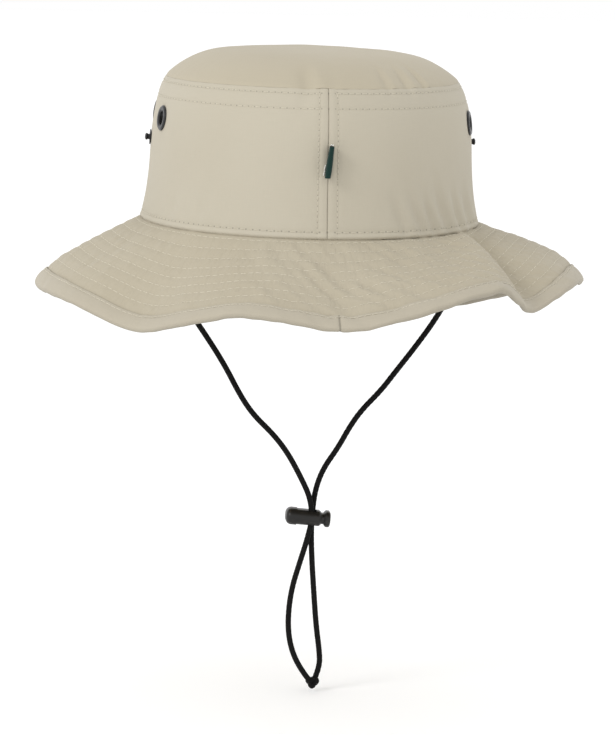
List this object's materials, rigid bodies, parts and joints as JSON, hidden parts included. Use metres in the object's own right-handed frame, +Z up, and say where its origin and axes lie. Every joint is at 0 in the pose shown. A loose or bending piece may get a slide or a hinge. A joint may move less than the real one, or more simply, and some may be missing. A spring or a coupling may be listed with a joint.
{
  "type": "boonie hat",
  "caption": "Soft field hat with a stitched floppy brim that snaps up at the sides, vent eyelets, and a chin cord with a sliding toggle.",
  "frame": {"origin": "middle of the head opening, at the seam where the crown meets the brim", "axes": "+Z up, +Y to the front of the hat, +X to the wearer's right"},
  "size_m": [0.2846, 0.3065, 0.3331],
  "materials": {
    "crown_cloth": "matte ripstop cotton, light stone khaki",
    "brim_cloth": "matte ripstop cotton, light stone khaki, quilted with rows of stitching",
    "brim_underside": "matte cotton, light stone khaki",
    "binding_cloth": "matte cotton twill, folded",
    "interlining": "stiff woven interlining, off white",
    "seam_tape": "twill tape",
    "sweatband_cloth": "matte brushed cotton",
    "label_cloth": "plain woven label with no text",
    "tab_ribbon": "dark green ribbon with no text",
    "eyelet_metal": "black enamel on brass",
    "washer_metal": "black enamel",
    "snap_metal": "black enamel on brass",
    "cord_braid": "black braided polyester cord",
    "toggle_plastic": "black acetal, satin",
    "spring_wire": "bare spring steel"
  },
  "bodies": {
    "hat": {"crown_side_panel_left": "crown_cloth", "crown_side_panel_right": "crown_cloth", "crown_top_panel": "crown_cloth", "top_seam_tape": "seam_tape", "back_seam_tape": "seam_tape", "front_seam_tape": "seam_tape", "sweatband": "sweatband_cloth", "size_label": "label_cloth", "back_seam_tab": "tab_ribbon", "brim_upper_ply": "brim_cloth", "brim_interlining": "interlining", "brim_lower_ply": "brim_underside", "brim_back_binding": "binding_cloth", "brim_front_binding": "binding_cloth", "vent_eyelet_left_back": "eyelet_metal", "eyelet_washer_left_back": "washer_metal", "vent_eyelet_left_front": "eyelet_metal", "eyelet_washer_left_front": "washer_metal", "snap_stud_left": "snap_metal", "stud_back_plate_left": "washer_metal", "cord_anchor_left": "seam_tape", "chin_cord_left": "cord_braid", "vent_eyelet_right_back": "eyelet_metal", "eyelet_washer_right_back": "washer_metal", "vent_eyelet_right_front": "eyelet_metal", "eyelet_washer_right_front": "washer_metal", "snap_stud_right": "snap_metal", "stud_back_plate_right": "washer_metal", "cord_anchor_right": "seam_tape", "chin_cord_right": "cord_braid", "cord_knot": "cord_braid"},
    "brim_left": {"brim_left_upper_ply": "brim_cloth", "brim_left_interlining": "interlining", "brim_left_lower_ply": "brim_underside", "brim_left_binding": "binding_cloth", "snap_socket_left": "snap_metal", "socket_cap_left": "snap_metal"},
    "brim_right": {"brim_right_upper_ply": "brim_cloth", "brim_right_interlining": "interlining", "brim_right_lower_ply": "brim_underside", "brim_right_binding": "binding_cloth", "snap_socket_right": "snap_metal", "socket_cap_right": "snap_metal"},
    "toggle": {"toggle_body": "toggle_plastic", "toggle_spring": "spring_wire"},
    "plunger": {"toggle_plunger": "toggle_plastic"}
  },
  "joints": [
    {"name": "brim_left_fold", "type": "hinge", "parent": "hat", "child": "brim_left", "pos_m": [-0.0885, 0, -0.0013], "axis": [0, 1, 0], "range_deg": [0, 124]},
    {"name": "brim_right_fold", "type": "hinge", "parent": "hat", "child": "brim_right", "pos_m": [0.0885, 0, -0.0013], "axis": [0, -1, 0], "range_deg": [0, 119]},
    {"name": "toggle_slide", "type": "slide", "parent": "hat", "child": "toggle", "axis": [0, 0, 1], "range_m": [-0.06, 0.045], "deforming": ["chin_cord_left", "chin_cord_right"]},
    {"name": "plunger_press", "type": "slide", "parent": "toggle", "child": "plunger", "axis": [-0.9962, 0, 0.0872], "range_m": [0, 0.0015], "stiffness_N_per_m": 600, "springref_m": -0.0015, "deforming": ["toggle_spring"]}
  ]
}
